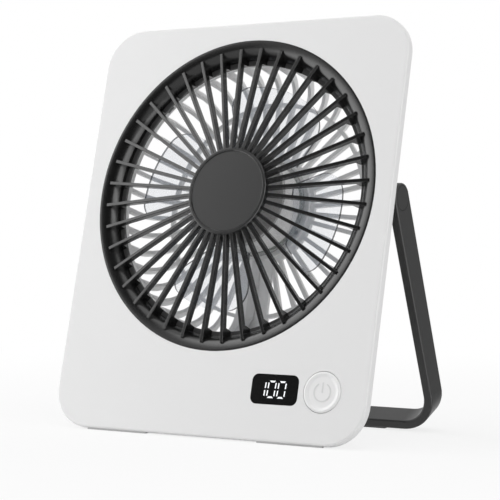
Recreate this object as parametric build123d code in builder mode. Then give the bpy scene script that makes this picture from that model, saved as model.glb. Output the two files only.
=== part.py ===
from build123d import *
import os
from math import acos, atan2, cos, degrees, hypot, radians, sin, tan

# Folding desk fan, standing as in use: its panel leans back and the strap behind it carries it.
# +Z is up, the panel faces -Y, and the origin is on the floor, below the middle of the whole fan.
# Lengths are millimetres and angles degrees. Depths are measured back from the panel's face.

# Fits and cuts
overrun = 1.0
slip = 0.05
ease = 0.2

# Panel
panel_width = 150.0
panel_height = 177.7
panel_corner = 17.0
panel_edge = 3.6
panel_face = 2.2
panel_round = 0.9
panel_lean = 14.55
side_border = 7.7
top_border = 7.9
control_band = 35.2
ledge_border = 3.0

# Front grille
lip_depth = 1.6
ledge_width = 1.4
lip_land = 0.8
roll_radius = 7.0
roll_turn = 63.0
shelf_depth = 6.0
throat_inset = 9.2
throat_depth = 6.8
grille_wall = 1.5
spoke_count = 40
spoke_width = 1.45
spoke_depth = 3.1
spoke_tip_depth = 2.3
spoke_inset = 3.5
spoke_tip_rise = 0.1
spoke_tip_bite = 1.6
spoke_root_rise = 3.2
spoke_heel = 0.7
spoke_heel_depth = 4.1
spoke_round = 0.25
hub_radius = 18.8
hub_rise = 4.1
hub_depth = 2.6
hub_rim = 1.6
hub_round = 0.5
hub_lip_round = 0.3
badge_thickness = 1.0
badge_sink = 0.35
lug_count = 4
lug_width = 9.0
lug_depth = 1.5
lug_hook = 1.2
tab_angle = 136.5
tab_count = 4
tab_width = 3.2
tab_depth = 1.4

# Rear housing
housing_inset = 6.5
housing_depth = 16.0
housing_wall = 2.0
housing_round = 3.0
opening_gap = 2.1

# Rear grille
rim_inset = 5.9
rim_wall = 3.1
rim_front = 7.0
rim_height = 2.35
skirt_front = 11.5
skirt_width = 3.8
skirt_bite = 0.5
skirt_thickness = 1.2
basket_depth = 28.0
basket_thickness = 2.0
basket_bend = 10.3
basket_ring_inset = 19.7
basket_ring_width = 1.6
rear_rib_count = 42
rear_rib_width = 1.7
seat_radius = 24.5
channel_width = 15.0

# Impeller
impeller_radius = 21.75
impeller_front = 7.2
impeller_back = 24.0
impeller_wall = 1.7
impeller_top = 1.8
impeller_round = 1.0
blade_count = 4
blade_inset = 18.3
blade_angle = -15.5
blade_span = 60.0
blade_thickness = 1.2
blade_root_depth = 15.5
blade_tip_depth = 7.6
blade_root_pitch = 24.2
blade_tip_pitch = 4.1
blade_root_bow = 0.33
blade_bow = 3.0
blade_corner = 9.0

# Motor
cup_wall = 1.0
cup_top = 1.0
cup_back = 23.0
magnet_wall = 1.75
magnet_front = 12.0
magnet_back = 22.5
air_gap = 0.6
stator_front = 13.5
stator_back = 20.5
stator_teeth = 9
stator_hub_radius = 8.5
tooth_width = 3.0
shoe_depth = 1.6
shoe_span = 32.0
coil_radius = 13.6
coil_build = 1.3
shaft_radius = 1.5
tube_radius = 4.0
tube_front = 11.5
bearing_radius = 3.0
bearing_length = 2.5
bearing_sink = 0.5
bearing_race = 0.5
base_radius = 22.5
base_thickness = 1.4
base_boss_radius = 6.0
board_thickness = 1.2
motor_board_radius = 19.5
clip_radius = 2.6
clip_thickness = 0.5
clip_groove = 0.4
motor_screw_count = 3
motor_screw_circle = 20.8
motor_screw_radius = 0.9
motor_screw_cap_radius = 1.7
motor_screw_cap_height = 1.2

# Strap, its pivots and its foot
strap_thickness = 3.9
strap_depth = 12.2
strap_waist = 10.8
strap_bend = 15.5
strap_round = 0.8
pivot_depth = 10.0
washer_thickness = 0.8
washer_radius = 5.6
boss_radius = 6.0
pivot_shoulder = 2.2
pivot_thread = 1.25
pivot_thread_length = 4.4
pivot_head = 3.6
pivot_head_height = 1.3
pivot_cap_radius = 5.0
pivot_cap_thickness = 0.9
pivot_cap_gap = 0.15
insert_radius = 2.4
strap_foot_width = 10.0
strap_foot_inset = 25.0
strap_foot_proud = 1.4
strap_foot_sink = 0.8
strap_foot_bite = 0.6

# Feet under the panel
foot_length = 30.0
foot_width = 1.6
foot_sink = 1.5
foot_lift = 0.15
foot_inset = 33.0
foot_depth = 2.3

# Display
window_inset = 41.8
window_v = 20.9
window_width = 21.6
window_height = 12.2
window_corner = 2.8
window_thickness = 1.0
window_border = 1.9
digit_count = 3
digit_pitch = 4.65
digit_width = 3.85
digit_height = 7.05
digit_stroke = 0.54
digit_bar = 0.7
digit_bar_width = 2.75
digit_bevel = 0.62
digit_gap = 0.42
digit_drop = 0.72
digit_slant = 4.0
digit_shift = 1.42

# Power button
button_inset = 20.1
button_v = 21.0
button_radius = 8.45
button_gap = 0.18
button_rise = 0.45
button_shoulder = 0.35
button_crest_inset = 1.1
button_dish_inset = 2.5
button_dish = 0.55
button_travel = 0.5
button_flange = 1.1
button_flange_thickness = 0.8
button_stem = 2.0
symbol_radius = 3.65
symbol_stroke = 0.5
symbol_rise = 0.2
symbol_opening = 60.0
symbol_bar = 4.1
switch_size = 6.2
switch_height = 3.0
switch_bore = 1.75
plunger_sink = 0.9
plunger_rise = 0.6

# Main board, what it carries, and the battery
board_front = 7.6
board_left = -4.0
board_inset = 12.0
board_bottom = 9.7
board_top = 32.0
board_corner = 3.0
board_notch_width = 9.0
board_notch_height = 8.5
usb_u = 18.0
usb_v = 24.0
usb_width = 8.94
usb_height = 3.26
usb_shell = 0.3
usb_cavity = 6.2
usb_tongue_width = 6.7
usb_tongue_thickness = 0.7
usb_sink = 0.4
socket_depth = 3.6
motor_socket_width = 6.0
motor_socket_height = 4.0
battery_socket_width = 4.0
battery_socket_height = 5.0
battery_socket_v = 24.5
battery_inset = 13.0
battery_right = -12.0
battery_bottom = 10.5
battery_top = 30.0
battery_front = 3.4
battery_thickness = 9.2
battery_round = 1.5
lead_radius = 0.6
lead_pitch = 2.0
cable_width = 4.0
cable_thickness = 1.0
chip_height = 1.2
chip_u_shares = (0.48, 0.62, 0.86)
chip_v_shares = (0.3, 0.72, 0.5)
chip_side_shares = (0.3, 0.2, 0.26)

# Screws that hold the housing to the panel
post_radius = 3.4
panel_boss_radius = 3.0
post_split = 8.0
screw_radius = 1.2
screw_head_radius = 2.3
screw_head_height = 1.6
screw_sink = 2.6
screw_tip = 3.4
screw_end_gap = 1.0
top_post_inset = 16.5
top_post_drop = 16.2
side_post_inset = 14.5
side_post_v = 42.0
bottom_post_v = 13.5

# The largest fan that the panel takes above its controls, and the pieces that follow its radius
side_reach = panel_width / 2
lip_radius = min(side_reach - side_border, (panel_height - top_border - control_band) / 2)
fan_height = (panel_height - top_border + control_band) / 2
crest_radius = lip_radius - lip_land
mouth_radius = crest_radius - roll_radius * sin(radians(roll_turn))
throat_radius = lip_radius - throat_inset
spoke_reach = lip_radius - spoke_inset
rim_radius = lip_radius - rim_inset
basket_ring_radius = lip_radius - basket_ring_inset
blade_radius = lip_radius - blade_inset

# Places that follow the panel's sides and top
window_u = side_reach - window_inset
button_u = side_reach - button_inset
board_right = side_reach - board_inset
battery_left = battery_inset - side_reach
foot_u = side_reach - foot_inset
strap_foot_length = panel_width - 2 * strap_foot_inset
top_post_u = side_reach - top_post_inset
top_post_v = panel_height - top_post_drop
side_post_u = side_reach - side_post_inset

# Where the head and the strap stand
lean = radians(panel_lean)
floor_drop = panel_edge * sin(lean) + foot_lift
pivot_y = fan_height * sin(lean) + pivot_depth * cos(lean)
pivot_z = floor_drop + fan_height * cos(lean) - pivot_depth * sin(lean)
strap_length = fan_height
foot_reach = strap_length + strap_foot_proud
foot_edge = hypot(foot_reach, strap_foot_width / 2)
strap_lean = atan2(strap_foot_width / 2, foot_reach) + acos((pivot_z + strap_foot_bite) / foot_edge)
front_y = panel_round * (cos(lean) + sin(lean) - 1)
rear_y = pivot_y + (strap_length - strap_round) * sin(strap_lean)
rear_y = rear_y + (strap_depth / 2 - strap_round) * cos(strap_lean) + strap_round
middle_y = (front_y + rear_y) / 2

# Frames: the panel's, the fan's, a section through the fan's axis, and the strap's
up_panel = Vector(0, sin(lean), cos(lean))
out_of_face = Vector(0, -cos(lean), sin(lean))
head = Plane(origin=(0, -middle_y, floor_drop), x_dir=(1, 0, 0), z_dir=out_of_face)
fan = Plane(origin=head.origin + up_panel * fan_height, x_dir=(1, 0, 0), z_dir=out_of_face)
fan_section = Plane(origin=fan.origin, x_dir=(1, 0, 0), z_dir=-up_panel)
fan_axis = Axis(fan.origin, out_of_face)
pivot = Vector(0, pivot_y - middle_y, pivot_z)
strap_front = Vector(0, -cos(strap_lean), -sin(strap_lean))
strap_plane = Plane(origin=pivot, x_dir=(1, 0, 0), z_dir=strap_front)
strap_side = Plane(origin=pivot, x_dir=strap_front, z_dir=(-1, 0, 0))

# Sizes that several pieces share
housing_width = panel_width - 2 * housing_inset
housing_height = panel_height - 2 * housing_inset
housing_corner = panel_corner - housing_inset
housing_back = housing_depth - housing_wall
ledge_radius = lip_radius - ledge_width
hole_gap = slip
rim_inner = rim_radius - rim_wall
opening_radius = rim_radius + opening_gap
collar_front = skirt_front + skirt_thickness + slip
basket_back = basket_depth + basket_thickness
base_front = basket_depth - base_thickness
motor_board_front = base_front - board_thickness
pass_depth = (rim_front + rim_height + skirt_front) / 2
cup_radius = impeller_radius - impeller_wall - slip
cup_front = impeller_front + impeller_top
magnet_radius = cup_radius - cup_wall - slip
stator_radius = magnet_radius - magnet_wall - air_gap
strap_inner_x = panel_width / 2 - strap_thickness
boss_face_x = strap_inner_x - slip - washer_thickness
head_top_x = panel_width / 2 - pivot_cap_thickness - slip
head_under_x = head_top_x - pivot_head_height
board_back = board_front + board_thickness
flange_front = panel_face + slip
stem_tip = board_front - switch_height - plunger_rise
post_places = (
    (-top_post_u, top_post_v),
    (top_post_u, top_post_v),
    (-side_post_u, side_post_v),
    (side_post_u, side_post_v),
    (0, bottom_post_v),
)


def block(depth, u, v, width, height, corner=0):
    """A rectangle facing out of the panel, at a depth behind its face."""
    with BuildSketch(head.offset(-depth)) as shape:
        with Locations((u, v)):
            if corner:
                RectangleRounded(width, height, corner)
            else:
                Rectangle(width, height)
    return shape.sketch


def disc(depth, u, v, radius):
    """A circle facing out of the panel, at a depth behind its face."""
    with BuildSketch(head.offset(-depth)) as shape:
        with Locations((u, v)):
            Circle(radius)
    return shape.sketch


def ring(depth, outer, inner=0):
    """A ring round the fan's axis, at a depth behind the panel's face."""
    with BuildSketch(fan.offset(-depth)) as shape:
        Circle(outer)
        if inner:
            Circle(inner, mode=Mode.SUBTRACT)
    return shape.sketch


def side_disc(x, radius):
    """A circle facing +X on the strap's pivot line."""
    with BuildSketch(Plane(origin=(x, pivot.Y, pivot.Z), x_dir=(0, 1, 0), z_dir=(1, 0, 0))) as shape:
        Circle(radius)
    return shape.sketch


def side_ring(x, outer, inner):
    """A ring facing +X on the strap's pivot line."""
    with BuildSketch(Plane(origin=(x, pivot.Y, pivot.Z), x_dir=(0, 1, 0), z_dir=(1, 0, 0))) as shape:
        Circle(outer)
        Circle(inner, mode=Mode.SUBTRACT)
    return shape.sketch


def radial_plane(angle, reach):
    """A plane facing outward at a reach from the fan's axis: x round the axis, y along it."""
    outward = fan.x_dir.rotate(Axis((0, 0, 0), fan.z_dir), angle)
    return Plane(origin=fan.origin + outward * reach, x_dir=fan.z_dir.cross(outward), z_dir=outward)


def around_fan(piece, count, first=0):
    """Copies of a piece at even angles round the fan's axis."""
    return [piece.rotate(fan_axis, first + index * 360 / count) for index in range(count)]


os.makedirs("parts", exist_ok=True)

# Front panel: a flanged plate with a ledge for the grille and pockets behind its thin face
with BuildPart() as front_panel:
    plate = block(panel_edge, 0, panel_height / 2, panel_width, panel_height, panel_corner)
    extrude(plate, amount=panel_edge)
    fillet(front_panel.faces().sort_by(Axis((0, 0, 0), out_of_face))[-1].edges(), panel_round)
    with BuildSketch(head.offset(-panel_edge)):
        with Locations((0, panel_height / 2)):
            RectangleRounded(
                housing_width - 2 * housing_wall,
                housing_height - 2 * housing_wall,
                housing_corner - housing_wall,
            )
        with Locations((0, fan_height)):
            Circle(lip_radius + ledge_border, mode=Mode.SUBTRACT)
    extrude(amount=panel_edge - panel_face, mode=Mode.SUBTRACT)
    extrude(ring(lip_depth, lip_radius + hole_gap), amount=lip_depth + overrun, mode=Mode.SUBTRACT)
    extrude(ring(panel_edge + overrun, ledge_radius), amount=panel_edge + overrun, mode=Mode.SUBTRACT)
    for post_u, post_v in post_places:
        extrude(disc(post_split, post_u, post_v, panel_boss_radius), amount=post_split - panel_face)
        pilot = disc(post_split + overrun, post_u, post_v, screw_radius + slip)
        extrude(pilot, amount=post_split - screw_tip + overrun, mode=Mode.SUBTRACT)
    window_seat = block(
        window_thickness,
        window_u,
        window_v,
        window_width + 2 * slip,
        window_height + 2 * slip,
        window_corner + slip,
    )
    extrude(window_seat, amount=window_thickness + overrun, mode=Mode.SUBTRACT)
    window_hole = block(
        panel_face + overrun,
        window_u,
        window_v,
        window_width - 2 * window_border,
        window_height - 2 * window_border,
        window_corner - window_border / 2,
    )
    extrude(window_hole, amount=panel_face + overrun, mode=Mode.SUBTRACT)
    button_hole = disc(panel_face + overrun, button_u, button_v, button_radius)
    extrude(button_hole, amount=panel_face + 2 * overrun, mode=Mode.SUBTRACT)
    foot_y = foot_depth * cos(lean) - middle_y
    with BuildSketch(Plane.XY):
        with Locations((-foot_u, foot_y), (foot_u, foot_y)):
            Rectangle(foot_length + 2 * slip, foot_width + 2 * slip)
    extrude(amount=foot_sink + slip, mode=Mode.SUBTRACT)
front_panel.part.label = "front_panel"
export_step(front_panel.part, "parts/front_panel.step")

# Feet: two soft bars let into the panel's lower edge, flat on the floor
with BuildPart() as body_feet:
    with BuildSketch(Plane.XY):
        with Locations((-foot_u, foot_y), (foot_u, foot_y)):
            Rectangle(foot_length, foot_width)
    extrude(amount=foot_sink)
body_feet.part.label = "body_feet"
export_step(body_feet.part, "parts/body_feet.step")

# Front grille: a rolled mouth with a shelf behind it, a hub, and spokes that rise towards it
with BuildPart() as spoke:
    spoke_back = spoke_tip_depth - spoke_tip_rise
    with BuildSketch(fan_section):
        with BuildLine():
            Polyline(
                (hub_radius - hub_rim, spoke_root_rise),
                (spoke_reach, spoke_tip_rise),
                (spoke_reach, -spoke_tip_bite),
                (mouth_radius + grille_wall / 2, -shelf_depth),
                (throat_radius + grille_wall / 2, -spoke_back - spoke_heel_depth),
                (throat_radius, -spoke_back - spoke_heel_depth),
                (throat_radius - spoke_heel, -spoke_back),
                (hub_radius - hub_rim, spoke_root_rise - spoke_depth),
                close=True,
            )
        make_face()
    extrude(amount=spoke_width / 2, both=True)
    fillet(spoke.edges().sort_by(SortBy.LENGTH)[-2:], spoke_round)

with BuildPart() as lug:
    lug_top = panel_edge + slip
    with BuildSketch(fan.offset(-lug_top)):
        lug_inner = mouth_radius + grille_wall / 2
        lug_outer = ledge_radius + lug_hook
        with Locations(((lug_inner + lug_outer) / 2, 0)):
            Rectangle(lug_outer - lug_inner, lug_width)
    extrude(amount=-lug_depth)

with BuildPart() as tab:
    with BuildSketch(fan.offset(-throat_depth)):
        with Locations((throat_radius + grille_wall / 2, 0)):
            Rectangle(grille_wall / 2, tab_width)
    extrude(amount=-tab_depth)

with BuildPart() as front_grille:
    with BuildSketch(fan_section):
        with BuildLine():
            Line((lip_radius, 0), (crest_radius, 0))
            roll = JernArc((crest_radius, 0), (-1, 0), roll_radius, roll_turn)
            Polyline(
                roll @ 1,
                (mouth_radius, -shelf_depth),
                (throat_radius, -shelf_depth),
                (throat_radius, -throat_depth),
                (mouth_radius + grille_wall, -throat_depth),
                (mouth_radius + grille_wall, -shelf_depth),
                (ledge_radius - hole_gap, -lip_depth - grille_wall),
                (ledge_radius - hole_gap, -lip_depth),
                (lip_radius, -lip_depth),
                (lip_radius, 0),
            )
        make_face()
    revolve(axis=fan_axis)
    extrude(ring(-hub_rise, hub_radius), amount=-hub_depth)
    fillet(front_grille.faces().sort_by(fan_axis)[-1].edges(), hub_round)
    badge_seat = ring(badge_thickness + badge_sink - hub_rise, hub_radius - hub_rim)
    extrude(badge_seat, amount=hub_rise, mode=Mode.SUBTRACT)
    hub_top = front_grille.faces().sort_by(fan_axis)[-1]
    fillet(hub_top.edges().sort_by(SortBy.RADIUS)[0], hub_lip_round)
    add(around_fan(spoke.part, spoke_count, 180 / spoke_count))
    add(around_fan(lug.part, lug_count, 180 / lug_count))
    add(around_fan(tab.part, tab_count, tab_angle))
front_grille.part.label = "front_grille"
export_step(front_grille.part, "parts/front_grille.step")

# Badge: a plain disc glued into the hub, a little below its rim
with BuildPart() as grille_badge:
    badge_front = badge_sink - hub_rise
    extrude(ring(badge_front, hub_radius - hub_rim - slip), amount=-badge_thickness)
grille_badge.part.label = "grille_badge"
export_step(grille_badge.part, "parts/grille_badge.step")

# Rear housing: a tub behind the panel, with posts, a collar round the fan's opening and the strap's bosses
with BuildPart() as rear_housing:
    tub = block(housing_depth, 0, panel_height / 2, housing_width, housing_height, housing_corner)
    extrude(tub, amount=housing_depth - panel_edge)
    fillet(rear_housing.faces().sort_by(fan_axis)[0].edges(), housing_round)
    hollow = block(
        housing_back,
        0,
        panel_height / 2,
        housing_width - 2 * housing_wall,
        housing_height - 2 * housing_wall,
        housing_corner - housing_wall,
    )
    extrude(hollow, amount=housing_back, mode=Mode.SUBTRACT)
    extrude(side_disc(-boss_face_x, boss_radius), amount=boss_face_x - housing_width / 2 + housing_wall)
    extrude(side_disc(boss_face_x, boss_radius), amount=housing_width / 2 - housing_wall - boss_face_x)
    bore = side_disc(-panel_width, insert_radius + slip)
    extrude(bore, amount=2 * panel_width, mode=Mode.SUBTRACT)
    for post_u, post_v in post_places:
        extrude(disc(housing_back, post_u, post_v, post_radius), amount=housing_back - post_split)
        shank = disc(housing_depth + overrun, post_u, post_v, screw_radius + slip)
        extrude(shank, amount=housing_depth + overrun - post_split + slip, mode=Mode.SUBTRACT)
        counterbore = disc(housing_depth + overrun, post_u, post_v, screw_head_radius + ease)
        extrude(counterbore, amount=screw_sink + overrun, mode=Mode.SUBTRACT)
    extrude(ring(housing_back, opening_radius + housing_wall), amount=housing_back - collar_front)
    fan_opening = ring(housing_depth + overrun, opening_radius)
    extrude(fan_opening, amount=housing_depth - collar_front + 2 * overrun, mode=Mode.SUBTRACT)
    usb_opening = block(
        housing_depth + overrun,
        usb_u,
        usb_v,
        usb_width + 2 * ease,
        usb_height + 2 * ease,
        usb_height / 2 + ease / 2,
    )
    extrude(usb_opening, amount=housing_wall + 2 * overrun, mode=Mode.SUBTRACT)
rear_housing.part.label = "rear_housing"
export_step(rear_housing.part, "parts/rear_housing.step")

# Housing screws: from behind, through the posts, into the panel's bosses
with BuildPart() as housing_screws:
    for post_u, post_v in post_places:
        head_seat = housing_depth - screw_sink
        extrude(disc(head_seat, post_u, post_v, screw_head_radius), amount=-screw_head_height)
        extrude(disc(head_seat, post_u, post_v, screw_radius), amount=head_seat - screw_tip - screw_end_gap)
        recess = disc(head_seat + screw_head_height, post_u, post_v, screw_radius)
        extrude(recess, amount=screw_head_height / 2, mode=Mode.SUBTRACT)
housing_screws.part.label = "housing_screws"
export_step(housing_screws.part, "parts/housing_screws.step")

# Rear grille: ribs that run back from a rim, bend over a basket's edge and meet a motor seat
with BuildPart() as rear_rib:
    bend_start = rim_inner - basket_bend
    bend_top = basket_depth - basket_bend
    with BuildSketch(fan_section):
        with BuildLine():
            Line((seat_radius - basket_thickness, -basket_depth), (bend_start, -basket_depth))
            RadiusArc((bend_start, -basket_depth), (rim_inner, -bend_top), -basket_bend)
            Polyline(
                (rim_inner, -bend_top),
                (rim_inner, -rim_front - rim_height / 2),
                (rim_radius, -rim_front - rim_height / 2),
                (rim_radius, -bend_top),
            )
            EllipticalCenterArc(
                (bend_start, -bend_top),
                rim_radius - bend_start,
                basket_back - bend_top,
                -90,
                arc_size=90,
            )
            Polyline(
                (bend_start, -basket_back),
                (seat_radius - basket_thickness, -basket_back),
                (seat_radius - basket_thickness, -basket_depth),
            )
        make_face()
    extrude(amount=rear_rib_width / 2, both=True)

with BuildPart() as wire_channel:
    add(rear_rib.part)
    rib_flanks = rear_rib.part.faces().sort_by(Axis(fan.origin, up_panel))
    channel_flank = (channel_width - rear_rib_width) / 2
    extrude(rib_flanks[0], amount=channel_flank)
    extrude(rib_flanks[-1], amount=channel_flank)
    extrude(ring(basket_back + overrun, rim_radius), amount=basket_back, mode=Mode.INTERSECT)

with BuildPart() as tab_notch:
    with BuildSketch(fan.offset(overrun - rim_front)):
        notch_outer = throat_radius + grille_wall + ease
        with Locations(((notch_outer + rim_inner - overrun) / 2, 0)):
            Rectangle(notch_outer - rim_inner + overrun, tab_width + 2 * ease)
    extrude(amount=rim_front - overrun - throat_depth - tab_depth - ease)

with BuildPart() as rear_grille:
    extrude(ring(rim_front, rim_radius, rim_inner), amount=-rim_height)
    extrude(ring(skirt_front, rim_radius + skirt_width, rim_radius - skirt_bite), amount=-skirt_thickness)
    ring_edge = basket_ring_width / 2
    basket_ring = ring(basket_depth, basket_ring_radius + ring_edge, basket_ring_radius - ring_edge)
    extrude(basket_ring, amount=-basket_thickness)
    extrude(ring(basket_depth, seat_radius), amount=-basket_thickness)
    add(around_fan(rear_rib.part, rear_rib_count, -90))
    add(wire_channel.part.rotate(fan_axis, -90))
    add(around_fan(tab_notch.part, tab_count, tab_angle), mode=Mode.SUBTRACT)
    with BuildSketch(fan.offset(-pass_depth - cable_thickness / 2 - ease)):
        with Locations((0, -rim_radius)):
            Rectangle(cable_width + 2 * ease, 2 * rim_wall + 2 * overrun)
    extrude(amount=cable_thickness + 2 * ease, mode=Mode.SUBTRACT)
    tube_seat = ring(basket_back + overrun, tube_radius + slip)
    extrude(tube_seat, amount=basket_thickness + 2 * overrun, mode=Mode.SUBTRACT)
    with BuildSketch(fan.offset(-basket_back - overrun)):
        with PolarLocations(motor_screw_circle, motor_screw_count, start_angle=90):
            Circle(motor_screw_radius + slip)
    extrude(amount=basket_thickness + 2 * overrun, mode=Mode.SUBTRACT)
    with BuildSketch(fan.offset(-basket_back - overrun)):
        with PolarLocations(motor_screw_circle, motor_screw_count, start_angle=90):
            Circle(motor_screw_cap_radius + ease)
    extrude(amount=motor_screw_cap_height + overrun, mode=Mode.SUBTRACT)
rear_grille.part.label = "rear_grille"
export_step(rear_grille.part, "parts/rear_grille.step")

# Motor base: a plate on the seat, with a boss that holds the bearing tube
with BuildPart() as motor_base:
    extrude(ring(base_front, base_radius), amount=-base_thickness)
    extrude(ring(stator_back + slip, base_boss_radius), amount=stator_back + slip - base_front)
    tube_hole = ring(basket_depth + overrun, tube_radius + slip)
    extrude(tube_hole, amount=basket_depth - stator_back + 2 * overrun, mode=Mode.SUBTRACT)
    with BuildSketch(fan.offset(-basket_depth - overrun)):
        with PolarLocations(motor_screw_circle, motor_screw_count, start_angle=90):
            Circle(motor_screw_radius + slip)
    extrude(amount=base_thickness + 2 * overrun, mode=Mode.SUBTRACT)
motor_base.part.label = "motor_base"
export_step(motor_base.part, "parts/motor_base.step")

with BuildPart() as motor_screws:
    screw_seat = basket_back - motor_screw_cap_height
    with BuildSketch(fan.offset(-screw_seat)):
        with PolarLocations(motor_screw_circle, motor_screw_count, start_angle=90):
            Circle(motor_screw_cap_radius)
    extrude(amount=-motor_screw_cap_height)
    with BuildSketch(fan.offset(-screw_seat)):
        with PolarLocations(motor_screw_circle, motor_screw_count, start_angle=90):
            Circle(motor_screw_radius)
    extrude(amount=screw_seat - base_front)
motor_screws.part.label = "motor_screws"
export_step(motor_screws.part, "parts/motor_screws.step")

# Bearing tube, its two bearings, and the motor's board
with BuildPart() as bearing_tube:
    extrude(ring(tube_front, tube_radius, bearing_radius + slip), amount=tube_front - basket_back)
    extrude(ring(basket_back - clip_thickness, tube_radius), amount=-clip_thickness)
bearing_tube.part.label = "bearing_tube"
export_step(bearing_tube.part, "parts/bearing_tube.step")

front_bearing = tube_front + bearing_sink
rear_bearing = base_front - bearing_length
with BuildPart() as bearings:
    for bearing_front in (front_bearing, rear_bearing):
        extrude(ring(bearing_front, bearing_radius, shaft_radius + slip), amount=-bearing_length)
        groove = ring(bearing_front, bearing_radius - bearing_race, shaft_radius + bearing_race)
        extrude(groove, amount=-bearing_race / 2, mode=Mode.SUBTRACT)
bearings.part.label = "bearings"
export_step(bearings.part, "parts/bearings.step")

with BuildPart() as motor_board:
    extrude(ring(motor_board_front, motor_board_radius, base_boss_radius + ease), amount=-board_thickness)
motor_board.part.label = "motor_board"
export_step(motor_board.part, "parts/motor_board.step")

# Stator: a toothed core on the bearing tube, with a winding round each tooth
with BuildPart() as tooth:
    shoe_inner = stator_radius - shoe_depth
    with BuildSketch(fan.offset(-stator_front)):
        with Locations(((stator_hub_radius + shoe_inner) / 2, 0)):
            Rectangle(shoe_inner - stator_hub_radius + shoe_depth, tooth_width)
        half_span = shoe_span / 2
        with BuildLine():
            outer_arc = CenterArc((0, 0), stator_radius, -half_span, shoe_span)
            inner_arc = CenterArc((0, 0), shoe_inner, -half_span, shoe_span)
            Line(outer_arc @ 0, inner_arc @ 0)
            Line(outer_arc @ 1, inner_arc @ 1)
        make_face()
    extrude(amount=stator_front - stator_back)

with BuildPart() as stator_core:
    extrude(ring(stator_front, stator_hub_radius, tube_radius + slip), amount=stator_front - stator_back)
    add(around_fan(tooth.part, stator_teeth))
stator_core.part.label = "stator_core"
export_step(stator_core.part, "parts/stator_core.step")

with BuildPart() as coil:
    coil_inner = stator_hub_radius + ease
    coil_top = stator_front - coil_build
    coil_height = stator_back - stator_front + 2 * coil_build
    with BuildSketch(fan.offset(-coil_top)):
        with Locations(((coil_inner + coil_radius) / 2, 0)):
            Rectangle(coil_radius - coil_inner, tooth_width + 2 * coil_build)
    extrude(amount=-coil_height)
    with BuildSketch(fan.offset(-stator_front + slip)):
        with Locations(((coil_inner + coil_radius) / 2, 0)):
            Rectangle(coil_radius - coil_inner + overrun, tooth_width + 2 * slip)
    extrude(amount=stator_front - stator_back - 2 * slip, mode=Mode.SUBTRACT)

with BuildPart() as stator_coils:
    add(around_fan(coil.part, stator_teeth))
stator_coils.part.label = "stator_coils"
export_step(stator_coils.part, "parts/stator_coils.step")

# Rotor: cup, magnet ring, shaft and its clip, all turning with the impeller
with BuildPart() as rotor_cup:
    extrude(ring(cup_front, cup_radius, shaft_radius + slip), amount=cup_front - cup_back)
    cup_hollow = ring(cup_back + overrun, cup_radius - cup_wall)
    extrude(cup_hollow, amount=cup_back - cup_front - cup_top + overrun, mode=Mode.SUBTRACT)
rotor_cup.part.label = "rotor_cup"
export_step(rotor_cup.part, "parts/rotor_cup.step")

with BuildPart() as rotor_magnet:
    extrude(ring(magnet_front, magnet_radius, magnet_radius - magnet_wall), amount=magnet_front - magnet_back)
rotor_magnet.part.label = "rotor_magnet"
export_step(rotor_magnet.part, "parts/rotor_magnet.step")

shaft_end = basket_back - 3 * clip_thickness
clip_front = shaft_end - 3 * clip_thickness
with BuildPart() as motor_shaft:
    extrude(ring(cup_front, shaft_radius), amount=cup_front - shaft_end)
    groove = ring(clip_front, shaft_radius + overrun, shaft_radius - clip_groove)
    extrude(groove, amount=-clip_thickness, mode=Mode.SUBTRACT)
motor_shaft.part.label = "motor_shaft"
export_step(motor_shaft.part, "parts/motor_shaft.step")

with BuildPart() as shaft_clip:
    clip_ring = ring(clip_front + slip / 2, clip_radius, shaft_radius - clip_groove + slip / 2)
    extrude(clip_ring, amount=slip - clip_thickness)
shaft_clip.part.label = "shaft_clip"
export_step(shaft_clip.part, "parts/shaft_clip.step")

# Impeller: a hub over the motor, and clear blades that pitch and sweep forward to their tips
blade_root = impeller_radius - impeller_wall / 2
blade_stock = blade_radius + 2 * blade_thickness
half_blade = radians(blade_span / 2)


def blade_section(reach, half_width, depth, pitch, bow):
    """A blade's cross-section at a reach from the axis: a thin bowed strip, pitched."""
    lift = half_width * tan(radians(pitch))
    with BuildSketch(radial_plane(blade_angle, reach)) as section:
        with BuildLine():
            ThreePointArc(
                (-half_width, bow - depth - lift),
                (0, -depth),
                (half_width, bow - depth + lift),
            )
            Line((half_width, bow - depth + lift), (half_width, bow - depth + lift - blade_thickness))
            ThreePointArc(
                (half_width, bow - depth + lift - blade_thickness),
                (0, -depth - blade_thickness),
                (-half_width, bow - depth - lift - blade_thickness),
            )
            Line((-half_width, bow - depth - lift - blade_thickness), (-half_width, bow - depth - lift))
        make_face()
    return section.sketch


with BuildPart() as blade:
    root_section = blade_section(
        blade_root,
        blade_root * tan(half_blade) + blade_corner / 2,
        blade_root_depth,
        blade_root_pitch,
        blade_root_bow,
    )
    tip_section = blade_section(
        blade_stock,
        blade_stock * tan(half_blade) + blade_corner / 2,
        blade_tip_depth,
        blade_tip_pitch,
        blade_bow,
    )
    loft([root_section, tip_section])
    blade_plane = Plane(origin=fan.origin, x_dir=radial_plane(blade_angle, 0).z_dir, z_dir=fan.z_dir)
    with BuildSketch(blade_plane.offset(-basket_depth)) as planform:
        with BuildLine():
            tip_arc = CenterArc((0, 0), blade_radius, -blade_span / 2, blade_span)
            root_arc = CenterArc((0, 0), blade_root, -blade_span / 2, blade_span)
            Line(tip_arc @ 0, root_arc @ 0)
            Line(tip_arc @ 1, root_arc @ 1)
        make_face()
        fillet(planform.vertices().group_by(Axis.X)[-1], blade_corner)
    extrude(amount=basket_depth, mode=Mode.INTERSECT)

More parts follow.
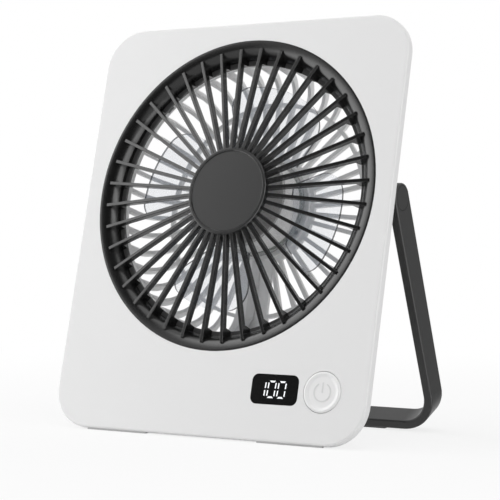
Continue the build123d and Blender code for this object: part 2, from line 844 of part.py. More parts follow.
with BuildPart() as impeller:
    extrude(ring(impeller_front, impeller_radius), amount=impeller_front - impeller_back)
    fillet(impeller.faces().sort_by(fan_axis)[-1].edges(), impeller_round)
    cup_space = ring(impeller_back + overrun, impeller_radius - impeller_wall)
    extrude(cup_space, amount=impeller_back - cup_front + overrun, mode=Mode.SUBTRACT)
    add(around_fan(blade.part, blade_count))
impeller.part.label = "impeller"
export_step(impeller.part, "parts/impeller.step")

# Display: a window let into the panel, lit digits through it, and the lamp block behind
def slanted(x, y):
    """A point of a digit, slanted to the right with its height."""
    return (x + y * tan(radians(digit_slant)), y)


def stroke_points(kind, side, level):
    """The corners of a bar or a side stroke of a digit, about its middle, mirrored to its side and level."""
    top = digit_height / 2
    right = digit_width / 2
    bar_end = digit_bar_width / 2
    corners = {
        "bar": (
            (-bar_end, top),
            (digit_bevel - bar_end, top - digit_bar),
            (bar_end - digit_bevel, top - digit_bar),
            (bar_end, top),
        ),
        "side": (
            (right, digit_gap),
            (right, top - digit_drop),
            (right - digit_stroke, top - digit_drop - digit_stroke / 2),
            (right - digit_stroke, digit_gap),
        ),
    }
    placed = [slanted(side * x, level * y) for x, y in corners[kind]]
    return placed[:: side * level]


zero_bars = (("bar", 1, 1), ("bar", 1, -1))
left_strokes = (("side", -1, 1), ("side", -1, -1))
right_strokes = (("side", 1, 1), ("side", 1, -1))
zero_strokes = zero_bars + left_strokes + right_strokes
shown_digits = (right_strokes, zero_strokes, zero_strokes)


def digits_sketch(depth):
    """The lit strokes of all the digits, at a depth behind the panel's face."""
    with BuildSketch(head.offset(-depth)) as strokes:
        for index, shown_strokes in enumerate(shown_digits):
            centre_u = window_u - digit_shift + (index - (digit_count - 1) / 2) * digit_pitch
            for kind, side, level in shown_strokes:
                with Locations((centre_u, window_v)):
                    Polygon(*stroke_points(kind, side, level), align=None)
    return strokes.sketch


with BuildPart() as display_window:
    glass = block(window_thickness, window_u, window_v, window_width, window_height, window_corner)
    extrude(glass, amount=window_thickness)
    digit_cuts = digits_sketch(window_thickness + overrun)
    extrude(digit_cuts, amount=window_thickness + 2 * overrun, mode=Mode.SUBTRACT)
display_window.part.label = "display_window"
export_step(display_window.part, "parts/display_window.step")

with BuildPart() as display_digits:
    extrude(digits_sketch(window_thickness), amount=window_thickness)
display_digits.part.label = "display_digits"
export_step(display_digits.part, "parts/display_digits.step")

with BuildPart() as display_module:
    lamp = block(
        board_front,
        window_u,
        window_v,
        window_width - 2 * window_border - 2 * ease,
        window_height - 2 * window_border - 2 * ease,
        window_corner - window_border / 2,
    )
    extrude(lamp, amount=board_front - window_thickness - slip)
display_module.part.label = "display_module"
export_step(display_module.part, "parts/display_module.step")

# Power button: a dished cap with a raised ring and the power symbol, on a flange behind the panel
button_cap = button_radius - button_gap
dish_floor = button_dish - button_rise
button_centre = head.from_local_coords(Vector(button_u, button_v, 0))
button_section = Plane(origin=button_centre, x_dir=(1, 0, 0), z_dir=-up_panel)
flange_back = flange_front + button_flange_thickness
with BuildPart() as power_button:
    with BuildSketch(button_section):
        with BuildLine():
            Line((0, -dish_floor), (button_cap - button_dish_inset, -dish_floor))
            Spline(
                (button_cap - button_dish_inset, -dish_floor),
                (button_cap - button_crest_inset, button_rise),
                (button_cap, -button_shoulder),
                tangents=((1, 0), (0, -1)),
            )
            Polyline(
                (button_cap, -button_shoulder),
                (button_cap, -flange_front),
                (button_cap + button_flange, -flange_front),
                (button_cap + button_flange, -flange_back),
                (button_stem, -flange_back),
                (button_stem, -stem_tip),
                (0, -stem_tip),
                (0, -dish_floor),
            )
        make_face()
    revolve(axis=Axis(button_centre, out_of_face))
    with BuildSketch(head.offset(-dish_floor)):
        with BuildLine():
            CenterArc((button_u, button_v), symbol_radius, 90 + symbol_opening / 2, 360 - symbol_opening)
        trace(line_width=symbol_stroke)
        with Locations((button_u, button_v + symbol_radius + symbol_stroke / 2 - symbol_bar / 2)):
            Rectangle(symbol_stroke, symbol_bar)
    extrude(amount=symbol_rise)
power_button.part.label = "power_button"
export_step(power_button.part, "parts/power_button.step")

# Push switch: a base on the board and a plunger that moves with the button
switch_top = board_front - switch_height
switch_bore_depth = plunger_sink + button_travel + ease
with BuildPart() as switch_base:
    extrude(block(board_front, button_u, button_v, switch_size, switch_size), amount=switch_height)
    well = disc(switch_top + switch_bore_depth, button_u, button_v, switch_bore)
    extrude(well, amount=switch_bore_depth + overrun, mode=Mode.SUBTRACT)
switch_base.part.label = "switch_base"
export_step(switch_base.part, "parts/switch_base.step")

with BuildPart() as switch_plunger:
    plunger = disc(switch_top + plunger_sink, button_u, button_v, switch_bore - slip)
    extrude(plunger, amount=plunger_sink + plunger_rise)
switch_plunger.part.label = "switch_plunger"
export_step(switch_plunger.part, "parts/switch_plunger.step")

# Main board and what is soldered to its back
board_width = board_right - board_left
board_height = board_top - board_bottom
board_u = (board_left + board_right) / 2
board_v = (board_bottom + board_top) / 2
with BuildPart() as main_board:
    card = block(board_front, board_u, board_v, board_width, board_height, board_corner)
    extrude(card, amount=-board_thickness)
    notch_u = board_left + board_notch_width / 2
    notch_v = board_bottom + board_notch_height / 2
    notch = block(
        board_front - overrun,
        notch_u - overrun,
        notch_v - overrun,
        board_notch_width + 2 * overrun,
        board_notch_height + 2 * overrun,
    )
    extrude(notch, amount=-board_thickness - 2 * overrun, mode=Mode.SUBTRACT)
main_board.part.label = "main_board"
export_step(main_board.part, "parts/main_board.step")

with BuildPart() as board_chips:
    for u_share, v_share, side_share in zip(chip_u_shares, chip_v_shares, chip_side_shares):
        chip_u = board_left + u_share * board_width
        chip_v = board_bottom + v_share * board_height
        chip_side = side_share * board_height
        extrude(block(board_back, chip_u, chip_v, chip_side, chip_side), amount=-chip_height)
board_chips.part.label = "board_chips"
export_step(board_chips.part, "parts/board_chips.step")

motor_socket_u = board_left + motor_socket_width / 2 + battery_socket_width / 4
motor_socket_v = board_top - motor_socket_height / 2
battery_socket_u = board_left + battery_socket_width / 2
with BuildPart() as board_sockets:
    motor_socket = block(board_back, motor_socket_u, motor_socket_v, motor_socket_width, motor_socket_height)
    extrude(motor_socket, amount=-socket_depth)
    battery_socket = block(
        board_back,
        battery_socket_u,
        battery_socket_v,
        battery_socket_width,
        battery_socket_height - ease,
    )
    extrude(battery_socket, amount=-socket_depth)
board_sockets.part.label = "board_sockets"
export_step(board_sockets.part, "parts/board_sockets.step")

# Charging port: a shell that opens through the housing's back, with its contact tongue
with BuildPart() as usb_port:
    usb_end = housing_depth - usb_sink
    shell = block(usb_end, usb_u, usb_v, usb_width, usb_height, usb_height / 2 - usb_shell / 2)
    extrude(shell, amount=usb_end - board_back)
    cavity = block(
        usb_end + overrun,
        usb_u,
        usb_v,
        usb_width - 2 * usb_shell,
        usb_height - 2 * usb_shell,
        usb_height / 2 - 3 * usb_shell / 2,
    )
    extrude(cavity, amount=usb_cavity + overrun, mode=Mode.SUBTRACT)
    tongue = block(usb_end - usb_cavity, usb_u, usb_v, usb_tongue_width, usb_tongue_thickness)
    extrude(tongue, amount=usb_sink - usb_cavity + usb_shell)
usb_port.part.label = "usb_port"
export_step(usb_port.part, "parts/usb_port.step")

# Battery: a flat cell in the lower left of the housing, with two leads to its socket
with BuildPart() as battery_cell:
    cell = block(
        battery_front,
        (battery_left + battery_right) / 2,
        (battery_bottom + battery_top) / 2,
        battery_right - battery_left,
        battery_top - battery_bottom,
        battery_round,
    )
    extrude(cell, amount=-battery_thickness)
battery_cell.part.label = "battery_cell"
export_step(battery_cell.part, "parts/battery_cell.step")

with BuildPart() as battery_leads:
    lead_depth = board_back + socket_depth / 2
    lead_start = head.from_local_coords(Vector(battery_right, 0, -lead_depth))
    lead_plane = Plane(origin=lead_start, x_dir=up_panel, z_dir=(1, 0, 0))
    with BuildSketch(lead_plane):
        with Locations((battery_socket_v - lead_pitch / 2, 0), (battery_socket_v + lead_pitch / 2, 0)):
            Circle(lead_radius)
    extrude(amount=board_left - battery_right)
battery_leads.part.label = "battery_leads"
export_step(battery_leads.part, "parts/battery_leads.step")

# Motor cable: a flat lead that lies in the wire channel, passes out below the rim and ends in its socket
with BuildPart() as motor_cable:
    cable_plane = Plane(origin=head.origin + Vector(motor_socket_u, 0, 0), x_dir=up_panel, z_dir=(1, 0, 0))
    cable_half = cable_thickness / 2
    channel_level = slip + cable_half - basket_depth
    climb_v = fan_height - rim_inner + cable_half + ease
    with BuildSketch(cable_plane):
        with BuildLine():
            FilletPolyline(
                (fan_height - base_radius - ease, channel_level),
                (fan_height - rim_inner + basket_bend, channel_level),
                (climb_v, -basket_depth + basket_bend),
                (climb_v, -pass_depth),
                (board_top, -pass_depth),
                radius=cable_half + ease,
            )
        trace(line_width=cable_thickness)
    extrude(amount=cable_width / 2, both=True)
motor_cable.part.label = "motor_cable"
export_step(motor_cable.part, "parts/motor_cable.step")

# Strap: one U of flat bar, slimmer along its arms, round at its pivots
with BuildPart() as stand:
    arm_top = strap_depth / 2
    strap_middle = (arm_top - strap_length) / 2
    with BuildSketch(strap_plane) as strap_outline:
        with Locations((0, strap_middle)):
            Rectangle(panel_width, strap_length + arm_top)
        fillet(strap_outline.vertices().group_by(Axis.Y)[0], strap_bend)
    extrude(amount=strap_depth / 2, both=True)
    with BuildSketch(strap_plane) as strap_inside:
        with Locations((0, strap_middle + strap_thickness)):
            Rectangle(panel_width - 2 * strap_thickness, strap_length + arm_top)
        fillet(strap_inside.vertices().group_by(Axis.Y)[0], strap_bend - strap_thickness)
    extrude(amount=strap_depth, both=True, mode=Mode.SUBTRACT)
    with BuildSketch(strap_side):
        Circle(strap_depth / 2)
        with BuildLine():
            Polyline(
                (strap_depth / 2, 0),
                (strap_waist / 2, strap_bend - strap_length),
                (strap_depth / 2, strap_thickness - strap_length),
                (strap_depth / 2, -strap_length),
                (-strap_depth / 2, -strap_length),
                (-strap_depth / 2, strap_thickness - strap_length),
                (-strap_waist / 2, strap_bend - strap_length),
                (-strap_depth / 2, 0),
                close=True,
            )
        make_face()
    extrude(amount=panel_width, both=True, mode=Mode.INTERSECT)
    fillet(stand.edges(), strap_round)
    for side in (-1, 1):
        outer_x = side * panel_width / 2
        cap_seat = side_disc(outer_x, pivot_cap_radius + pivot_cap_gap)
        extrude(cap_seat, amount=-side * pivot_cap_thickness, mode=Mode.SUBTRACT)
        head_seat = side_disc(outer_x, pivot_head + ease)
        extrude(head_seat, amount=side * (head_under_x - slip) - outer_x, mode=Mode.SUBTRACT)
        pivot_hole = side_disc(outer_x, pivot_shoulder + slip)
        extrude(pivot_hole, amount=-side * (strap_thickness + overrun), mode=Mode.SUBTRACT)
    with BuildSketch(Plane(origin=pivot, x_dir=(1, 0, 0), z_dir=strap_plane.y_dir).offset(-strap_length)):
        Rectangle(strap_foot_length + 2 * slip, strap_foot_width + 2 * slip)
    extrude(amount=strap_foot_sink, mode=Mode.SUBTRACT)
stand.part.label = "stand"
export_step(stand.part, "parts/stand.step")

# Strap foot: a soft bar under the strap, cut flat where it meets the floor
with BuildPart() as stand_foot:
    foot_plane = Plane(origin=pivot, x_dir=(1, 0, 0), z_dir=strap_plane.y_dir)
    with BuildSketch(foot_plane.offset(strap_foot_sink - strap_length)):
        Rectangle(strap_foot_length, strap_foot_width)
    extrude(amount=-strap_foot_sink - strap_foot_proud)
    split(bisect_by=Plane.XY, keep=Keep.TOP)
stand_foot.part.label = "stand_foot"
export_step(stand_foot.part, "parts/stand_foot.step")

# Pivots: threaded inserts in the housing, shoulder screws, washers, and caps on the strap
with BuildPart() as pivot_inserts:
    for side in (-1, 1):
        extrude(
            side_ring(side * boss_face_x, insert_radius, pivot_thread + slip),
            amount=-side * pivot_thread_length,
        )
pivot_inserts.part.label = "pivot_inserts"
export_step(pivot_inserts.part, "parts/pivot_inserts.step")

with BuildPart() as pivot_screws:
    for side in (-1, 1):
        extrude(side_disc(side * head_under_x, pivot_head), amount=side * pivot_head_height)
        extrude(side_disc(side * head_under_x, pivot_shoulder), amount=side * (boss_face_x - head_under_x))
        extrude(side_disc(side * boss_face_x, pivot_thread), amount=-side * pivot_thread_length)
pivot_screws.part.label = "pivot_screws"
export_step(pivot_screws.part, "parts/pivot_screws.step")

with BuildPart() as friction_washers:
    for side in (-1, 1):
        washer = side_ring(side * boss_face_x, washer_radius, pivot_shoulder + slip)
        extrude(washer, amount=side * washer_thickness)
friction_washers.part.label = "friction_washers"
export_step(friction_washers.part, "parts/friction_washers.step")

with BuildPart() as pivot_caps:
    for side in (-1, 1):
        extrude(side_disc(side * panel_width / 2, pivot_cap_radius), amount=-side * pivot_cap_thickness)
pivot_caps.part.label = "pivot_caps"
export_step(pivot_caps.part, "parts/pivot_caps.step")

print("panel lean", panel_lean, "strap lean", round(degrees(strap_lean), 3))
print("head origin", head.origin, "fan centre", fan.origin, "pivot", pivot)
print("axis out of the face", out_of_face)
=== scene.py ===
from math import cos, radians, sin

import bpy
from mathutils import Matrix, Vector

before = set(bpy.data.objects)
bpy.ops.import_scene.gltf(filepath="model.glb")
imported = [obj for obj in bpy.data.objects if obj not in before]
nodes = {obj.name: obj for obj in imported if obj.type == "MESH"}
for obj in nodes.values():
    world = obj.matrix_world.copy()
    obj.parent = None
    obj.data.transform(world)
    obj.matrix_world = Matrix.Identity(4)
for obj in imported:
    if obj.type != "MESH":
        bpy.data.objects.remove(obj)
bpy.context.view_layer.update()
scene = bpy.context.scene

# The leaning panel, in metres: where it stands, up its face and out of its face
PANEL_LEAN = radians(14.55)
PANEL_FOOT = Vector((0, -0.0395194, 0.0010544))
PANEL_UP = Vector((0, sin(PANEL_LEAN), cos(PANEL_LEAN)))
PANEL_OUT = Vector((0, -cos(PANEL_LEAN), sin(PANEL_LEAN)))
FAN_HEIGHT = 0.1025
FAN_CENTRE = PANEL_FOOT + PANEL_UP * FAN_HEIGHT
BUTTON_ACROSS = 0.0549
BUTTON_HEIGHT = 0.021
BUTTON_CENTRE = PANEL_FOOT + Vector((BUTTON_ACROSS, 0, 0)) + PANEL_UP * BUTTON_HEIGHT

# Zones of the finishes and of their painted light and shade, as radii and depths about the fan or
# the button, in millimetres
SHELF_RADIUS = 57.5
SHELF_DEPTH = 5.8
CLEAR_HUB_RADIUS = 22.3
CLEAR_RIM_RADIUS = 21.2
CLEAR_RIM_FRONT = 7.7
CLEAR_RIM_BACK = 23.6
SYMBOL_RADIUS = 4.3
SYMBOL_DEPTH = 0.05

# Camera and lamps, in metres
CAMERA_PLACE = Vector((0.37544, -0.61085, 0.09022))
CAMERA_TARGET = Vector((0.0182, -0.02852, 0.07675))
LAMP_TARGET = Vector((0, -0.02, 0.09))


# Nodes and shader groups that the finishes share


def effect_group(name, inputs, outputs):
    """An empty shader group with named sockets, its input node and its output node."""
    group = bpy.data.node_groups.new(name, "ShaderNodeTree")
    for label, kind, value in inputs:
        socket = group.interface.new_socket(label, in_out="INPUT", socket_type=kind)
        socket.default_value = value
    for label, kind in outputs:
        group.interface.new_socket(label, in_out="OUTPUT", socket_type=kind)
    return group, group.nodes.new("NodeGroupInput"), group.nodes.new("NodeGroupOutput")


def feed(tree, node, values):
    """Fill a node's first sockets from other sockets or plain values."""
    for slot, value in enumerate(values):
        if hasattr(value, "is_output"):
            tree.links.new(value, node.inputs[slot])
        else:
            node.inputs[slot].default_value = value


def math_node(tree, operation, *values, clamp=False):
    """The outcome of a math node in a tree."""
    node = tree.nodes.new("ShaderNodeMath")
    node.operation = operation
    node.use_clamp = clamp
    feed(tree, node, values)
    return node.outputs[0]


def vector_node(tree, operation, *values):
    """The outputs of a vector math node in a tree."""
    node = tree.nodes.new("ShaderNodeVectorMath")
    node.operation = operation
    feed(tree, node, values)
    return node.outputs


def ramp(tree, value, start, end, low, high):
    """A map range node: low where a value starts its range, high where it ends it."""
    node = tree.nodes.new("ShaderNodeMapRange")
    feed(tree, node, (value, start, end, low, high))
    return node


def blend_colours(tree, share, first, second):
    """A mix of two colours, each a socket or a plain colour."""
    blend = tree.nodes.new("ShaderNodeMix")
    blend.data_type = "RGBA"
    tree.links.new(share, blend.inputs["Factor"])
    # Colour sockets go by their places, because the sockets for numbers have the same names
    first_slot, second_slot, mixed_slot = 6, 7, 2
    for slot, value in ((first_slot, first), (second_slot, second)):
        if hasattr(value, "is_output"):
            tree.links.new(value, blend.inputs[slot])
        else:
            blend.inputs[slot].default_value = (*value, 1)
    return blend.outputs[mixed_slot]


def moulded_grain_group():
    """Fine spark-eroded grain and the slow drift of tone that moulded plastic has."""
    group, taken, given = effect_group(
        "moulded_grain",
        (
            ("Grain Size", "NodeSocketFloat", 3000.0),
            ("Drift Size", "NodeSocketFloat", 30.0),
            ("Light Tone", "NodeSocketColor", (0.8, 0.8, 0.8, 1)),
            ("Dark Tone", "NodeSocketColor", (0.7, 0.7, 0.7, 1)),
            ("Smooth", "NodeSocketFloat", 0.3),
            ("Rough", "NodeSocketFloat", 0.5),
        ),
        (
            ("Tone", "NodeSocketColor"),
            ("Roughness", "NodeSocketFloat"),
            ("Height", "NodeSocketFloat"),
        ),
    )
    place = group.nodes.new("ShaderNodeTexCoord")
    grain = group.nodes.new("ShaderNodeTexNoise")
    grain.inputs["Detail"].default_value = 3
    grain.inputs["Roughness"].default_value = 0.6
    drift = group.nodes.new("ShaderNodeTexNoise")
    drift.inputs["Detail"].default_value = 2
    link = group.links.new
    link(place.outputs["Object"], grain.inputs["Vector"])
    link(place.outputs["Object"], drift.inputs["Vector"])
    link(taken.outputs["Grain Size"], grain.inputs["Scale"])
    link(taken.outputs["Drift Size"], drift.inputs["Scale"])
    grain_share, drift_share = 0.4, 0.6
    fine = math_node(group, "MULTIPLY", grain.outputs["Fac"], grain_share)
    blend = math_node(group, "MULTIPLY_ADD", drift.outputs["Fac"], drift_share, fine)
    tone = blend_colours(group, blend, taken.outputs["Light Tone"], taken.outputs["Dark Tone"])
    smooth, rough = taken.outputs["Smooth"], taken.outputs["Rough"]
    gloss = ramp(group, blend, start=0.3, end=0.7, low=smooth, high=rough)
    link(tone, given.inputs["Tone"])
    link(gloss.outputs["Result"], given.inputs["Roughness"])
    link(grain.outputs["Fac"], given.inputs["Height"])
    return group


def axis_zone_group():
    """Radius and depth in mm about an axis out of the panel, and how far a point faces along it."""
    group, taken, given = effect_group(
        "axis_zone",
        (("Centre", "NodeSocketVector", FAN_CENTRE),),
        (
            ("Radius", "NodeSocketFloat"),
            ("Depth", "NodeSocketFloat"),
            ("Facing", "NodeSocketFloat"),
        ),
    )
    place = group.nodes.new("ShaderNodeTexCoord")
    mm_per_metre = 1000.0
    centre = taken.outputs["Centre"]
    offset = vector_node(group, "SUBTRACT", place.outputs["Object"], centre)["Vector"]
    along = vector_node(group, "DOT_PRODUCT", offset, PANEL_OUT)["Value"]
    across = vector_node(group, "CROSS_PRODUCT", offset, PANEL_OUT)["Vector"]
    reach = vector_node(group, "LENGTH", across)["Value"]
    facing = vector_node(group, "DOT_PRODUCT", place.outputs["Normal"], PANEL_OUT)["Value"]
    link = group.links.new
    link(math_node(group, "MULTIPLY", reach, mm_per_metre), given.inputs["Radius"])
    link(math_node(group, "MULTIPLY", along, -mm_per_metre), given.inputs["Depth"])
    link(math_node(group, "ABSOLUTE", facing), given.inputs["Facing"])
    return group


MOULDED_GRAIN = moulded_grain_group()
AXIS_ZONE = axis_zone_group()


def new_finish(name):
    """A material with its Principled shader, ready for its own nodes."""
    finish = bpy.data.materials.new(name)
    finish.use_nodes = True
    tree = finish.node_tree
    shader = next(node for node in tree.nodes if node.type == "BSDF_PRINCIPLED")
    return finish, tree, shader


def moulded_finish(
    name, light, dark, smooth, rough, grain=2600.0, drift=28.0, relief=0.00002, specular=0.5
):
    """Moulded plastic or rubber: grain in the surface, tone and gloss that drift a little."""
    finish, tree, shader = new_finish(name)
    grained = tree.nodes.new("ShaderNodeGroup")
    grained.node_tree = MOULDED_GRAIN
    grained.inputs["Grain Size"].default_value = grain
    grained.inputs["Drift Size"].default_value = drift
    grained.inputs["Light Tone"].default_value = (*light, 1)
    grained.inputs["Dark Tone"].default_value = (*dark, 1)
    grained.inputs["Smooth"].default_value = smooth
    grained.inputs["Rough"].default_value = rough
    bump = tree.nodes.new("ShaderNodeBump")
    bump.inputs["Strength"].default_value = 0.4
    bump.inputs["Distance"].default_value = relief
    tree.links.new(grained.outputs["Height"], bump.inputs["Height"])
    tree.links.new(grained.outputs["Tone"], shader.inputs["Base Color"])
    tree.links.new(grained.outputs["Roughness"], shader.inputs["Roughness"])
    tree.links.new(bump.outputs["Normal"], shader.inputs["Normal"])
    shader.inputs["Specular IOR Level"].default_value = specular
    return finish, tree, shader, grained


def plain_moulding(name, light, dark, smooth, rough, **more):
    """A moulded finish that takes no nodes of its own."""
    return moulded_finish(name, light, dark, smooth, rough, **more)[0]


def grey(level):
    """A neutral colour."""
    return (level, level, level)


white_shell = plain_moulding("white_shell", grey(0.82), grey(0.8), 0.38, 0.46, specular=0.25)
pale_basket = plain_moulding("pale_basket", grey(0.86), grey(0.83), 0.4, 0.5)
badge_face = plain_moulding(
    "badge_face", grey(0.019), grey(0.016), 0.32, 0.36, grain=4200.0, specular=0.43
)
strap_finish = plain_moulding(
    "strap_finish", grey(0.019), grey(0.016), 0.36, 0.44, grain=2200.0, specular=0.4
)
window_black = plain_moulding("window_black", grey(0.011), grey(0.009), 0.08, 0.14, relief=0.0)
pale_rubber = plain_moulding("pale_rubber", grey(0.66), grey(0.6), 0.6, 0.8, grain=1800.0)
dark_rubber = plain_moulding("dark_rubber", grey(0.03), grey(0.024), 0.6, 0.8, grain=1800.0)
black_resin = plain_moulding("black_resin", grey(0.02), grey(0.015), 0.35, 0.5)
board_green = plain_moulding("board_green", (0.02, 0.12, 0.05), (0.015, 0.09, 0.04), 0.3, 0.4)
natural_nylon = plain_moulding("natural_nylon", (0.7, 0.69, 0.64), (0.64, 0.63, 0.58), 0.4, 0.55)
cable_skin = plain_moulding("cable_skin", grey(0.04), grey(0.03), 0.45, 0.6)
pale_cable = plain_moulding("pale_cable", grey(0.7), grey(0.66), 0.45, 0.6)
magnet_dark = plain_moulding("magnet_dark", grey(0.05), grey(0.035), 0.4, 0.55)


def metal_finish(name, light, dark, smooth, rough, metallic=1.0):
    """Bare or plated metal with a faint machined grain; a dull skin is less metallic."""
    finish, _, shader, _ = moulded_finish(
        name, light, dark, smooth, rough, grain=900.0, relief=0.000004
    )
    shader.inputs["Metallic"].default_value = metallic
    return finish


plain_steel = metal_finish("plain_steel", (0.62, 0.62, 0.64), (0.52, 0.52, 0.54), 0.22, 0.36)
turned_brass = metal_finish("turned_brass", (0.72, 0.55, 0.25), (0.62, 0.46, 0.2), 0.22, 0.34)
core_steel = metal_finish("core_steel", (0.34, 0.34, 0.36), (0.28, 0.28, 0.3), 0.35, 0.5)
wound_copper = metal_finish("wound_copper", (0.66, 0.3, 0.12), (0.5, 0.2, 0.07), 0.25, 0.4)
cup_metal = metal_finish("cup_metal", grey(0.9), grey(0.84), 0.36, 0.46, metallic=0.15)
cell_foil = metal_finish("cell_foil", (0.6, 0.61, 0.63), (0.52, 0.53, 0.55), 0.3, 0.45)


def lit_digit_finish():
    """Lit strokes of the display."""
    finish, tree, shader, grained = moulded_finish(
        "lit_digit", (0.95, 0.96, 0.97), (0.88, 0.9, 0.92), 0.2, 0.3, drift=400.0, relief=0.0
    )
    tree.links.new(grained.outputs["Tone"], shader.inputs["Emission Color"])
    shader.inputs["Emission Strength"].default_value = 0.32
    return finish


def zone_about(tree, centre):
    """The place of each point about an axis out of the panel."""
    zone = tree.nodes.new("ShaderNodeGroup")
    zone.node_tree = AXIS_ZONE
    zone.inputs["Centre"].default_value = centre
    return zone.outputs


def button_finish():
    """White plastic with the power symbol in grey on its raised strokes."""
    finish, tree, shader, grained = moulded_finish(
        "button_face", grey(0.85), grey(0.83), 0.34, 0.42
    )
    zone = zone_about(tree, BUTTON_CENTRE)
    inside = math_node(tree, "LESS_THAN", zone["Radius"], SYMBOL_RADIUS)
    raised = math_node(tree, "LESS_THAN", zone["Depth"], SYMBOL_DEPTH)
    symbol = math_node(tree, "MULTIPLY", inside, raised)
    tone = blend_colours(tree, symbol, grained.outputs["Tone"], grey(0.7))
    tree.links.new(tone, shader.inputs["Base Color"])
    return finish


def grille_finish():
    """Glossy dark plastic, with painted light on the ledge round the mouth: a paler tone there."""
    finish, tree, shader, grained = moulded_finish(
        "dark_shell", grey(0.009), grey(0.007), 0.21, 0.26
    )
    zone = zone_about(tree, FAN_CENTRE)
    outside = math_node(tree, "GREATER_THAN", zone["Radius"], SHELF_RADIUS)
    deep = math_node(tree, "GREATER_THAN", zone["Depth"], SHELF_DEPTH)
    painted_light_shelf = math_node(tree, "MULTIPLY", outside, deep)
    # Painted light: the ledge inside the mouth gets a paler tone than the rest of the grille
    tone = blend_colours(tree, painted_light_shelf, grained.outputs["Tone"], grey(0.1))
    tree.links.new(tone, shader.inputs["Base Color"])
    return finish


def clear_impeller_finish():
    """Clear plastic: a faint veil, thicker at the hub, with painted shade along its edges, casting
    no shadow.
    """
    finish, tree, shader = new_finish("clear_impeller")
    zone = zone_about(tree, FAN_CENTRE)
    # Painted shade: where a blade turns away from the axis, its edge gets a dark tint and a thicker
    # veil
    turned = ramp(tree, zone["Facing"], start=0.25, end=0.6, low=1, high=0)
    hub = math_node(tree, "LESS_THAN", zone["Radius"], CLEAR_HUB_RADIUS)
    blade = math_node(tree, "SUBTRACT", 1.0, hub)
    painted_blade_edge_shade = math_node(tree, "MULTIPLY", turned.outputs["Result"], blade)
    # Painted shade: thin bands at the hub's front and rear rims get a dark grey tint and a thicker
    # veil
    near_rim = math_node(tree, "GREATER_THAN", zone["Radius"], CLEAR_RIM_RADIUS)
    at_front = math_node(tree, "LESS_THAN", zone["Depth"], CLEAR_RIM_FRONT)
    front_edge = math_node(tree, "MULTIPLY", at_front, near_rim)
    rear_edge = math_node(tree, "GREATER_THAN", zone["Depth"], CLEAR_RIM_BACK)
    painted_hub_rim_shade = math_node(tree, "MULTIPLY", math_node(tree, "MAXIMUM", front_edge, rear_edge), hub)
    tint = blend_colours(tree, hub, (0.68, 0.78, 0.96), grey(0.94))
    tint = blend_colours(tree, painted_blade_edge_shade, tint, (0.03, 0.03, 0.035))
    tint = blend_colours(tree, painted_hub_rim_shade, tint, grey(0.16))
    tree.links.new(tint, shader.inputs["Base Color"])
    blade_veil, hub_extra, painted_blade_edge_veil, painted_hub_rim_veil = 0.12, 0.1, 0.7, 0.3
    veil = math_node(tree, "MULTIPLY_ADD", hub, hub_extra, blade_veil)
    veil = math_node(tree, "MULTIPLY_ADD", painted_blade_edge_shade, painted_blade_edge_veil, veil)
    veil = math_node(tree, "MULTIPLY_ADD", painted_hub_rim_shade, painted_hub_rim_veil, veil, clamp=True)
    path = tree.nodes.new("ShaderNodeLightPath")
    lit_through = math_node(tree, "SUBTRACT", 1.0, path.outputs["Is Shadow Ray"])
    tree.links.new(math_node(tree, "MULTIPLY", veil, lit_through), shader.inputs["Alpha"])
    blade_rough, hub_rough_extra = 0.12, 0.2
    rough = math_node(tree, "MULTIPLY_ADD", hub, hub_rough_extra, blade_rough)
    tree.links.new(rough, shader.inputs["Roughness"])
    return finish


lit_digit = lit_digit_finish()
dark_shell = grille_finish()
clear_impeller = clear_impeller_finish()
button_face = button_finish()

FINISH_OF_NODE = {
    "front_panel": white_shell,
    "rear_housing": white_shell,
    "power_button": button_face,
    "front_grille": dark_shell,
    "grille_badge": badge_face,
    "stand": strap_finish,
    "pivot_caps": strap_finish,
    "rear_grille": pale_basket,
    "impeller": clear_impeller,
    "display_window": window_black,
    "display_digits": lit_digit,
    "display_module": black_resin,
    "body_feet": pale_rubber,
    "stand_foot": dark_rubber,
    "housing_screws": plain_steel,
    "motor_screws": plain_steel,
    "pivot_screws": plain_steel,
    "motor_shaft": plain_steel,
    "shaft_clip": plain_steel,
    "bearings": plain_steel,
    "rotor_cup": cup_metal,
    "usb_port": plain_steel,
    "pivot_inserts": turned_brass,
    "bearing_tube": turned_brass,
    "stator_core": core_steel,
    "stator_coils": wound_copper,
    "rotor_magnet": magnet_dark,
    "motor_base": pale_basket,
    "motor_board": board_green,
    "main_board": board_green,
    "board_chips": black_resin,
    "board_sockets": natural_nylon,
    "switch_base": black_resin,
    "switch_plunger": black_resin,
    "battery_cell": cell_foil,
    "battery_leads": cable_skin,
    "motor_cable": pale_cable,
    "friction_washers": natural_nylon,
}
for node, finish in FINISH_OF_NODE.items():
    nodes[node].data.materials.clear()
    nodes[node].data.materials.append(finish)


# Stage, which isn't part of the object: floor, background, cards for reflections, lamps and camera


def stage_sheet(name, corners, finish):
    """A flat sheet of the studio, with one finish."""
    mesh = bpy.data.meshes.new(name)
    mesh.from_pydata(corners, [], [(0, 1, 2, 3)])
    mesh.materials.append(finish)
    sheet = bpy.data.objects.new(name, mesh)
    scene.collection.objects.link(sheet)
    return sheet


def bare_finish(name):
    """A material with nothing but its output."""
    finish = bpy.data.materials.new(name)
    finish.use_nodes = True
    finish.node_tree.nodes.clear()
    return finish, finish.node_tree, finish.node_tree.nodes.new("ShaderNodeOutputMaterial")


def seen_rays(tree):
    """One where the eye, a reflection or a view through glass meets a surface."""
    path = tree.nodes.new("ShaderNodeLightPath")
    seen = math_node(tree, "MAXIMUM", path.outputs["Is Camera Ray"], path.outputs["Is Glossy Ray"])
    return math_node(tree, "MAXIMUM", seen, path.outputs["Is Transmission Ray"])


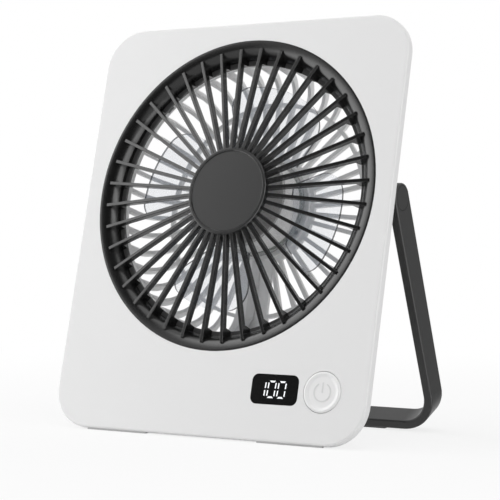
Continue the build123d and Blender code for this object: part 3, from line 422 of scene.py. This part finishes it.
def studio_floor():
    """A wide pale floor: plain white far from the object, and with the object's shadow near it."""
    finish, tree, output = bare_finish("studio_floor")
    matt = tree.nodes.new("ShaderNodeBsdfDiffuse")
    matt.inputs["Color"].default_value = (0.86, 0.86, 0.86, 1)
    glow = tree.nodes.new("ShaderNodeEmission")
    glow.inputs["Color"].default_value = (1, 1, 1, 1)
    place = tree.nodes.new("ShaderNodeTexCoord")
    reach = vector_node(tree, "LENGTH", place.outputs["Object"])["Value"]
    white = ramp(tree, reach, start=0.1, end=0.45, low=0.78, high=1)
    white.interpolation_type = "SMOOTHSTEP"
    share = math_node(tree, "MULTIPLY", seen_rays(tree), white.outputs["Result"])
    blend = tree.nodes.new("ShaderNodeMixShader")
    tree.links.new(share, blend.inputs["Fac"])
    tree.links.new(matt.outputs["BSDF"], blend.inputs[1])
    tree.links.new(glow.outputs["Emission"], blend.inputs[2])
    tree.links.new(blend.outputs["Shader"], output.inputs["Surface"])
    half = 6.0
    corners = [(-half, -half, 0), (half, -half, 0), (half, half, 0), (-half, half, 0)]
    floor = stage_sheet("studio_floor", corners, finish)
    floor.visible_glossy = False


def at_azimuth(azimuth, distance):
    """A place on the floor, so many degrees from the panel's front towards the right."""
    turn = radians(azimuth)
    return distance * sin(turn), -distance * cos(turn)


def reflected_card(name, left, right, distance, bottom, top, level):
    """An upright card between two azimuths, black or glowing at a level, for reflections alone."""
    finish, tree, output = bare_finish(name)
    glow = tree.nodes.new("ShaderNodeEmission")
    glow.inputs["Strength"].default_value = level
    tree.links.new(glow.outputs["Emission"], output.inputs["Surface"])
    start, end = at_azimuth(left, distance), at_azimuth(right, distance)
    corners = [(*start, bottom), (*end, bottom), (*end, top), (*start, top)]
    card = stage_sheet(name, corners, finish)
    card.visible_camera = False
    card.visible_diffuse = False
    card.visible_transmission = False
    card.visible_volume_scatter = False
    card.visible_shadow = False


def studio_world(fill):
    """White where it is seen, directly or in a reflection; a plain fill light otherwise."""
    world = bpy.data.worlds.new("studio_world")
    scene.world = world
    world.use_nodes = True
    tree = world.node_tree
    tree.nodes.clear()
    output = tree.nodes.new("ShaderNodeOutputWorld")
    back = tree.nodes.new("ShaderNodeBackground")
    back.inputs["Color"].default_value = (1, 1, 1, 1)
    level = ramp(tree, seen_rays(tree), start=0, end=1, low=fill, high=1)
    tree.links.new(level.outputs["Result"], back.inputs["Strength"])
    tree.links.new(back.outputs["Background"], output.inputs["Surface"])


def aim_at(holder, target):
    """Turn a lamp or a camera towards a point."""
    sight = target - holder.location
    holder.rotation_euler = sight.to_track_quat("-Z", "Y").to_euler()


def softbox(name, azimuth, distance, height, width, tall, power):
    """A soft studio lamp at an azimuth from the panel's front, aimed at the middle of the fan."""
    lamp = bpy.data.lights.new(name, "AREA")
    lamp.shape = "RECTANGLE"
    lamp.size = width
    lamp.size_y = tall
    lamp.energy = power
    holder = bpy.data.objects.new(name, lamp)
    holder.location = (*at_azimuth(azimuth, distance), height)
    aim_at(holder, LAMP_TARGET)
    scene.collection.objects.link(holder)


studio_floor()
studio_world(fill=0.64)
reflected_card("left_card", left=-84, right=-41, distance=1.0, bottom=-0.2, top=1.6, level=3.5)
reflected_card("front_card", left=-36, right=42, distance=1.7, bottom=0, top=2.6, level=0)
reflected_card("right_card", left=42, right=88, distance=1.7, bottom=-1.6, top=1.4, level=4)
reflected_card("rear_card", left=138, right=172, distance=1.6, bottom=-0.6, top=0.8, level=0.36)
softbox("left_softbox", azimuth=-76, distance=1.1, height=0.55, width=1.4, tall=1.0, power=7.4)
softbox("right_softbox", azimuth=85, distance=1.1, height=0.4, width=0.6, tall=0.5, power=1.7)
softbox("top_softbox", azimuth=20, distance=0.25, height=1.3, width=1.0, tall=0.8, power=2.6)

camera = bpy.data.objects.new("camera", bpy.data.cameras.new("camera"))
camera.data.lens = 121.14
camera.data.sensor_width = 36
camera.location = CAMERA_PLACE
aim_at(camera, CAMERA_TARGET)
scene.collection.objects.link(camera)
scene.camera = camera
scene.view_settings.view_transform = "Standard"
